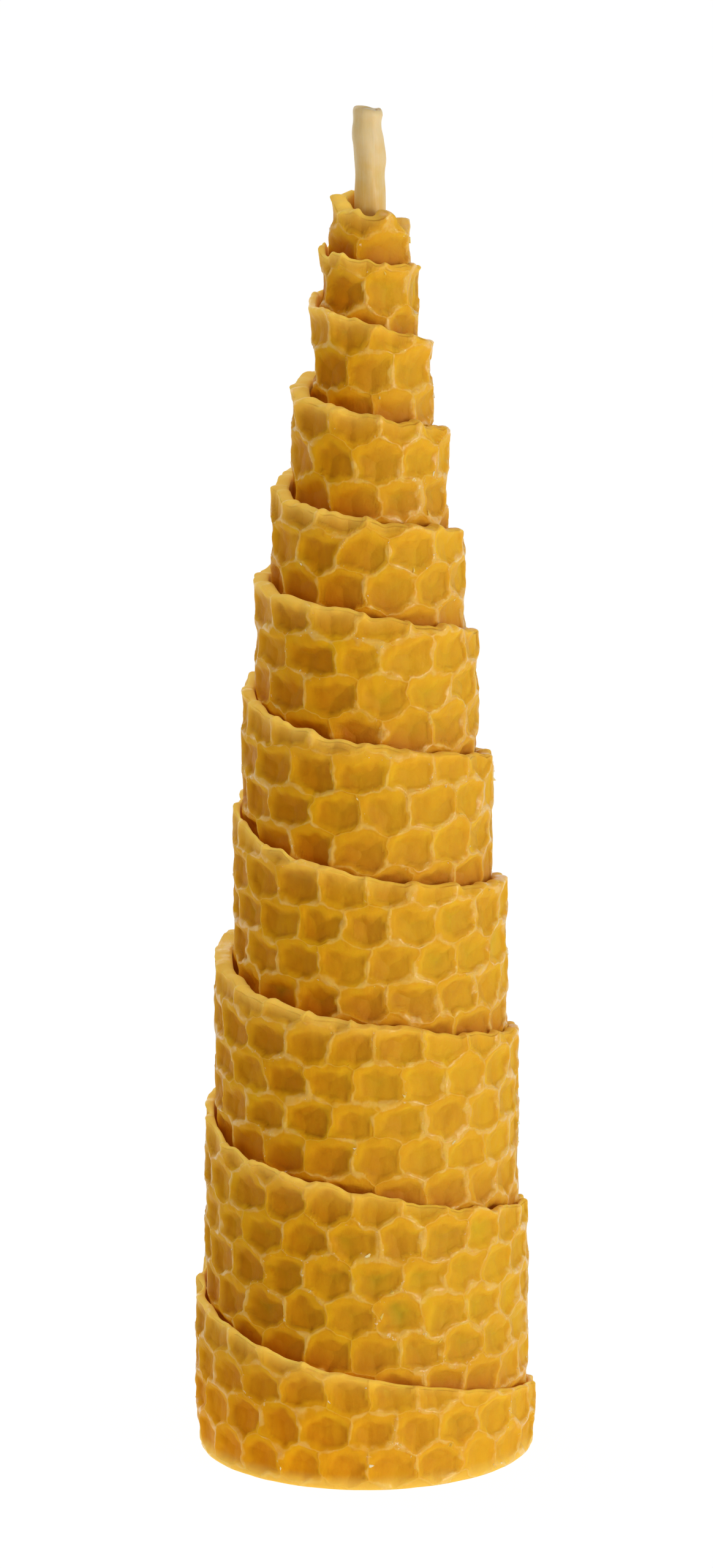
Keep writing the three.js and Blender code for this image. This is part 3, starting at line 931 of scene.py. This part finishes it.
def pressed_beeswax(colours):
    """Beeswax sheet, rolled between engraved cylinders: golden and translucent. Painted glow and
    paler colour stand in for light through the thin walls and cut edges, painted shade deepens the
    cell floors and the gaps, and the side facing the key light is painted paler and flatter. The
    crests are pale, partly from bloom and partly a painted highlight."""
    material, add = new_material("pressed_beeswax")
    floor, tone, lip, crevice, foot, behind, lit_side = (
        add("Attribute", attribute_name=key, out="Fac")
        for key in ("floor", "tone", "lip", "crevice", "foot", "behind", "lit_side")
    )
    patches = grain(add, 7, roughness=0.5)
    mottle = grain(add, 1.4, detail=5.0)
    streaks = grain(add, 1.1, stretch=3)
    speckle = grain(add, 0.5)
    glow = grain(add, 2.2, stretch=3)
    wall, away, rise = cell_place(add)
    # Painted light: on the side that faces the key, the painted floor shade is weaker and the lips
    # and foot glow less
    lit_share = add(TIMES, lit_side, 0.6)
    unlit_share = add(MINUS, 1.0, lit_share)
    # How deep in its cell a point looks: gold on the crests, deep gold on the floor as painted shade
    # in the recesses, with the wax's own tone, patches and streaks
    depth = add(TIMES, add(TIMES, away, floor), add(MINUS, 0.85, lit_share))
    depth = add(PLUS, depth, add(TIMES, tone, 0.15))
    depth = add(PLUS, depth, add(RAMP, patches, 0.3, 0.7, -0.15, 0.15))
    depth = add(PLUS, depth, add(RAMP, streaks, 0.35, 0.65, -0.16, 0.16), use_clamp=True)
    wax = add(BLEND, depth, colours.gold, colours.deep)
    lemon = add(TIMES, add(RAMP, glow, 0.48, 0.66, 0.0, 0.55), add(MINUS, 1.0, depth))
    wax = add(BLEND, lemon, wax, colours.lemon)
    # Painted shade in the gaps between turns, darker down in the cells
    shaded = add(TIMES, crevice, add(PLUS, 0.4, add(TIMES, away, 0.5)))
    wax = add(BLEND, shaded, wax, colours.gap_shade)
    # Crests come and go, from a thin bright line to a broad soft one on the side facing the key
    # light;
    # their paleness is partly bloom and partly a painted highlight
    breadth = add(RAMP, grain(add, 2.6, detail=1.0, roughness=0.5), 0.34, 0.66, 0.008, 0.08)
    breadth = add(PLUS, breadth, add(TIMES, lit_side, 0.02))
    crest = add(TIMES, add(MINUS, breadth, wall), 24.0, use_clamp=True)
    crest = add(TIMES, crest, add(RAMP, mottle, 0.35, 0.6, 0.35, 1.0))
    pale = add(LARGER, add(TIMES, crest, 0.5), add(RAMP, wall, 0.016, 0.004, 0.0, 0.3))
    # Painted light in the lips: pale and glowing, most on the side away from the key light
    thin = add(TIMES, lip, unlit_share)
    pale = add(LARGER, pale, add(TIMES, thin, 0.8))
    # Painted light: the side facing the key light is paler all over
    pale = add(LARGER, pale, add(TIMES, lit_side, 0.14))
    wax = add(BLEND, pale, wax, colours.pale)
    # Painted light at the foot: paler, as if lit from the table through the wax
    wax = add(BLEND, add(TIMES, foot, 0.55), wax, colours.pale)
    # Flecks of bloom on the crests of some patches
    fleck = add(TIMES, add(RAMP, speckle, 0.62, 0.70), add(RAMP, wall, 0.10, 0.02))
    fleck = add(TIMES, fleck, add(RAMP, patches, 0.48, 0.66, 0.0, 0.7))
    wax = add(BLEND, fleck, wax, colours.bloom)
    # Height of the fine relief in mm: crests, the floor's faces, drag marks and grain
    relief = add(TIMES, add(RAMP, wall, 0.06, 0.0), 0.10)
    faces = add(TIMES, rise, add(PLUS, 0.7, add(TIMES, tone, 0.4)))
    relief = add(PLUS, relief, add(TIMES, faces, floor))
    for pattern, height in ((streaks, 0.08), (mottle, 0.16), (speckle, 0.03)):
        relief = add(PLUS, relief, add(TIMES, pattern, height))
    # Painted glow for light that the wax passes on: from turn to turn in the gaps and behind the
    # lips, up from the table at the foot, and through the lips
    painted_glow = add(TIMES, add(LARGER, add(TIMES, crevice, crevice), behind), PAINTED_GLOW_IN_GAPS)
    height = add("SeparateXYZ", add("TexCoord", out="Object"), out="Z")
    low = add(RAMP, height, PAINTED_GLOW_UP_TO, 0.0, 0.0, PAINTED_GLOW_AT_FOOT)
    painted_glow = add(PLUS, painted_glow, add(TIMES, low, unlit_share))
    painted_glow = add(PLUS, painted_glow, add(TIMES, thin, PAINTED_GLOW_IN_LIPS))
    add("OutputMaterial", add("BsdfPrincipled", named={
        "Base Color": wax,
        # Painted glow colour: dark orange in the gaps, pale at the lips and the foot
        "Emission Color": add(BLEND, add(LARGER, lip, foot), colours.gap_shade, colours.pale),
        "Emission Strength": add(TIMES, painted_glow, PAINTED_GLOW_STRENGTH),
        "Roughness": add(MINUS, add(RAMP, mottle, 0.3, 0.7, 0.38, 0.5), add(TIMES, crest, 0.2)),
        "IOR": WAX_IOR,
        "Specular IOR Level": add(PLUS, 0.05, add(TIMES, crest, 0.3)),
        "Coat Weight": add(TIMES, crest, 0.3),
        "Coat Roughness": 0.18,
        "Coat IOR": WAX_IOR,
        "Subsurface Weight": 0.7,
        "Subsurface Radius": (1.0, 0.55, 0.18),
        "Subsurface Scale": 1.1 * MM,
        "Normal": add("Bump", named={"Distance": MM, "Height": relief}),
    }))
    return material


def wax_crumbs(colours):
    """Crumbs and bloom of beeswax: whitish where the wax has scattered into flakes."""
    material, add = new_material("wax_crumbs")
    mottle = grain(add, 3, detail=1.0, roughness=0.5)
    add("OutputMaterial", add("BsdfPrincipled", named={
        "Base Color": add(BLEND, add(RAMP, mottle, 0.4, 0.6), colours.pale, colours.bloom),
        "Roughness": 0.35,
        "IOR": WAX_IOR,
        "Subsurface Weight": 0.5,
        "Subsurface Radius": (1.0, 0.8, 0.5),
        "Subsurface Scale": 0.3 * MM,
    }))
    return material


def primed_wick_wax(colours):
    """Waxed cotton wick, dipped and drawn: a smooth thin coat, cream at the cut tip and tan
    where more wax has soaked in, with the fibres showing through as faint upright streaks."""
    material, add = new_material("primed_wick_wax")
    up = add("Attribute", attribute_name="up", out="Fac")
    streaks = grain(add, 0.22, stretch=14)
    mottle = grain(add, 1.6, roughness=0.5)
    share = add(PLUS, up, add(RAMP, mottle, 0.3, 0.7, -0.2, 0.2), use_clamp=True)
    wax = add(BLEND, share, colours.stem, colours.tip)
    wax = add(BLEND, add(RAMP, streaks, 0.4, 0.7, 0.0, 0.15), wax, colours.cotton)
    add("OutputMaterial", add("BsdfPrincipled", named={
        "Base Color": wax,
        "Roughness": 0.45,
        "IOR": WAX_IOR,
        "Subsurface Weight": 0.6,
        "Subsurface Radius": (1.0, 0.7, 0.35),
        "Subsurface Scale": 0.8 * MM,
        "Normal": add("Bump", named={"Strength": 0.4, "Distance": 0.06 * MM, "Height": streaks}),
    }))
    return material


def waxed_cotton(colours):
    """Braided cotton soaked in wax: matt, cream, its yarns drawn as fine upright streaks."""
    material, add = new_material("waxed_cotton")
    streaks = grain(add, 0.15, stretch=6)
    add("OutputMaterial", add("BsdfPrincipled", named={
        "Base Color": add(BLEND, add(RAMP, streaks, 0.35, 0.65), colours.tip, colours.cotton),
        "Roughness": 0.8,
        "Sheen Weight": 0.2,
        "Subsurface Weight": 0.5,
        "Subsurface Radius": (1.0, 0.8, 0.5),
        "Subsurface Scale": 0.6 * MM,
        "Normal": add("Bump", named={"Strength": 0.6, "Distance": 0.05 * MM, "Height": streaks}),
    }))
    return material


# Stage

WORLD_LIGHT = 0.38
WHITE = (1.0, 1.0, 1.0)
WARM = (1.0, 0.94, 0.78)
# The table: how much of it glows where the camera sees it and elsewhere, and how brightly
FLOOR_SEEN = 0.88
FLOOR_LIGHT = 0.6
FLOOR_GLOW = 1.1
FLOOR_GREY = (0.86, 0.86, 0.86)
FLOOR_REACH = 3.0
FLOOR_BELOW = 0.02 * MM


def seen(add):
    """1 for rays from the camera and for those it sees by a mirror or through glass."""
    camera, mirror, glass = (
        add("LightPath", out=f"Is {kind} Ray") for kind in ("Camera", "Glossy", "Transmission")
    )
    return add(LARGER, add(LARGER, camera, mirror), glass)


def white_world():
    """White where it is seen, and a soft warm light elsewhere."""
    world = bpy.data.worlds.new("white_world")
    world.use_nodes = True
    add = node_adder(world.node_tree)
    tint = add(BLEND, seen(add), WARM, WHITE)
    add("OutputWorld", add("Background", tint, add(LARGER, seen(add), WORLD_LIGHT)))
    bpy.context.scene.world = world


def white_floor():
    """A white light table, lit from within. It is seen as plain white with a faint shadow, and
    lights the candle from below."""
    corners = FLOOR_REACH * np.array([(-1, -1), (1, -1), (1, 1), (-1, 1)])
    points = np.column_stack([corners, np.full(4, -FLOOR_BELOW)])
    floor = make_piece("floor", points, np.array([[0, 1, 2, 3]]))
    material, add = new_material("white_table")
    glow = add("Emission", add(BLEND, seen(add), WARM, WHITE), FLOOR_GLOW)
    share = add(LARGER, add(TIMES, seen(add), FLOOR_SEEN), FLOOR_LIGHT)
    add("OutputMaterial", add("MixShader", share, add("BsdfDiffuse", FLOOR_GREY), glow))
    floor.data.materials.append(material)


# Name, place in metres, size across and power in watts: a soft key at the right front, and a rim
# light from behind at the left
LIGHTS = (
    ("key", (0.85, -0.7, 0.2), 0.45, 5.15),
    ("rim", (-0.6, 0.55, 0.75), 0.5, 1.4),
)


def soft_light(name, place, size, power):
    """A round lamp that faces the middle of the candle."""
    lamp = bpy.data.lights.new(name, "AREA")
    lamp.shape, lamp.size, lamp.energy = "DISK", size, power
    holder = put_in_scene(name, lamp)
    holder.location = place
    aim = Vector((0, 0, CAD_BOX[1].z / 2)) - Vector(place)
    holder.rotation_euler = aim.to_track_quat("-Z", "Y").to_euler()


def photo_camera(s):
    """Looks along +Y and down by its pitch, on a 1164 x 2560 frame."""
    camera = bpy.data.cameras.new("camera")
    camera.sensor_width, camera.lens = 36, s.lens
    camera.clip_start, camera.clip_end = 0.01, 20
    holder = put_in_scene("camera", camera)
    holder.location = (-s.aside, -s.distance, s.height)
    holder.rotation_euler = (math.pi / 2 - s.pitch, 0, 0)
    bpy.context.scene.camera = holder


# Operators


class CANDLE_OT_stage(bpy.types.Operator):
    """Set the camera, the soft light and the white table"""

    bl_idname = "candle.stage"
    bl_label = "Stage"

    def execute(self, context):
        photo_camera(context.scene.candle_stage)
        white_world()
        white_floor()
        for light in LIGHTS:
            soft_light(*light)
        context.scene.view_settings.view_transform = "Standard"
        return {"FINISHED"}


class CANDLE_OT_wax_strips(bpy.types.Operator):
    """Roll the two strips of honeycomb sheet"""

    bl_idname = "candle.wax_strips"
    bl_label = "Wax strips"

    def execute(self, context):
        roll = context.scene.candle_roll
        wax = pressed_beeswax(context.scene.wax_colours)
        joint, gap = roll.first_strip, roll.joint_gap / 2
        end = joint + roll.second_strip
        inner = wax_strip("inner_strip", 0, joint - gap, *INNER_GRID)
        outer = wax_strip("outer_strip", joint + gap, end, *OUTER_GRID)
        seat(inner, "inner_wax_sheet", wax)
        seat(outer, "outer_wax_sheet", wax)
        return {"FINISHED"}


class CANDLE_OT_crumbs(bpy.types.Operator):
    """Strew the flakes of wax that stick to the sheet"""

    bl_idname = "candle.crumbs"
    bl_label = "Crumbs"

    def execute(self, context):
        flakes = crumbs("wax_flakes")
        flakes.data.materials.append(wax_crumbs(context.scene.wax_colours))
        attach(flakes, BODY)
        return {"FINISHED"}


class CANDLE_OT_wick(bpy.types.Operator):
    """Make the cotton wick and its coat of wax"""

    bl_idname = "candle.wick"
    bl_label = "Wick"

    def execute(self, context):
        settings, colours = context.scene.candle_wick, context.scene.wax_colours
        seat(wick_coat(settings), "wick_wax_coat", primed_wick_wax(colours))
        seat(cotton_braid(settings), "wick_braid", waxed_cotton(colours))
        return {"FINISHED"}


class CANDLE_PT_sidebar(bpy.types.Panel):
    """Candle tools in the 3D view's sidebar"""

    bl_idname = "CANDLE_PT_sidebar"
    bl_label = "Rolled Beeswax Candle"
    bl_space_type = "VIEW_3D"
    bl_region_type = "UI"
    bl_category = "Candle"

    def draw(self, context):
        for operator in OPERATORS:
            self.layout.operator(operator.bl_idname)
        for name, _ in SETTINGS:
            box = self.layout.box()
            group = getattr(context.scene, name)
            for key in group.__annotations__:
                box.prop(group, key)


SETTINGS = (
    ("candle_roll", RollSettings),
    ("wax_sheet", SheetSettings),
    ("candle_wick", WickSettings),
    ("wax_colours", WaxColours),
    ("candle_stage", StageSettings),
)
OPERATORS = (CANDLE_OT_stage, CANDLE_OT_wax_strips, CANDLE_OT_crumbs, CANDLE_OT_wick)
CLASSES = (*(group for _, group in SETTINGS), *OPERATORS, CANDLE_PT_sidebar)


def register():
    for cls in CLASSES:
        bpy.utils.register_class(cls)
    for name, group in SETTINGS:
        setattr(bpy.types.Scene, name, PointerProperty(type=group))


def unregister():
    for name, _ in SETTINGS:
        delattr(bpy.types.Scene, name)
    for cls in reversed(CLASSES):
        bpy.utils.unregister_class(cls)


def main():
    register()
    bpy.ops.candle.stage()
    bpy.ops.candle.wax_strips()
    bpy.ops.candle.crumbs()
    bpy.ops.candle.wick()


if __name__ == "__main__":
    main()
